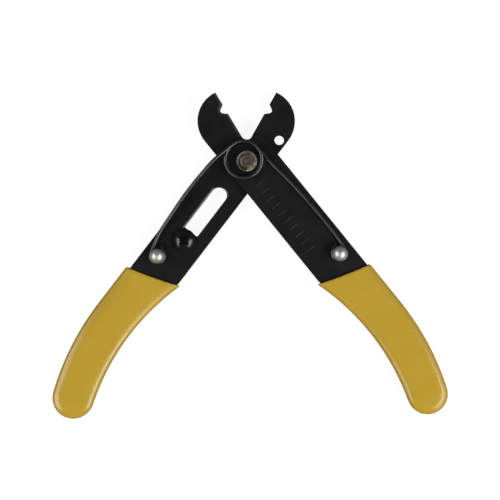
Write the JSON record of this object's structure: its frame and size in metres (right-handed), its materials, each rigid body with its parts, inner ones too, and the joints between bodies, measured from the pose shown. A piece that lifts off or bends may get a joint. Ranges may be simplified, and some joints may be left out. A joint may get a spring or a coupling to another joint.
{
  "type": "wire stripper",
  "caption": "Hand wire stripper and cutter with crossed flat levers, notched jaws, return spring, sliding stop screw and dipped grips.",
  "frame": {"origin": "on the pivot's axis, in the plane of the rivet's flat back head, on which the tool rests", "axes": "+Z out of the tool's front face, +Y from the pivot towards the jaws, +X across the handles towards the handle of the front lever"},
  "size_m": [0.131, 0.1073, 0.0112],
  "materials": {
    "black_steel": "black oxide, satin",
    "yellow_vinyl": "dipped vinyl, semi-gloss",
    "yellow_zinc": "yellow zinc plated, formed head",
    "spring_wire": "oiled black spring wire",
    "bright_steel": "tumbled bright steel",
    "black_screw": "black oxide, oiled"
  },
  "bodies": {
    "rear_half": {"rear_lever": "black_steel", "rear_grip": "yellow_vinyl", "pivot_rivet": "yellow_zinc", "rear_spring_post": "bright_steel", "return_spring": "spring_wire"},
    "front_half": {"front_lever": "black_steel", "front_grip": "yellow_vinyl", "front_spring_post": "bright_steel"},
    "stop_slider": {"stop_nut": "black_screw"},
    "stop_screw_body": {"stop_screw": "black_screw"}
  },
  "joints": [
    {"name": "handle_pivot", "type": "hinge", "parent": "rear_half", "child": "front_half", "pos_m": [0, 0, 0.0037], "axis": [0, 0, -1], "range_deg": [0, 52], "stiffness_Nm_per_rad": 0.35, "deforming": ["return_spring"]},
    {"name": "stop_slide", "type": "slide", "parent": "rear_half", "child": "stop_slider", "axis": [0.6191, 0.7853, 0], "range_m": [0, 0.009]},
    {"name": "stop_screw_turn", "type": "hinge", "parent": "stop_slider", "child": "stop_screw_body", "pos_m": [-0.02115, -0.02586, 0.0037], "axis": [0, 0, -1], "continuous": true}
  ]
}
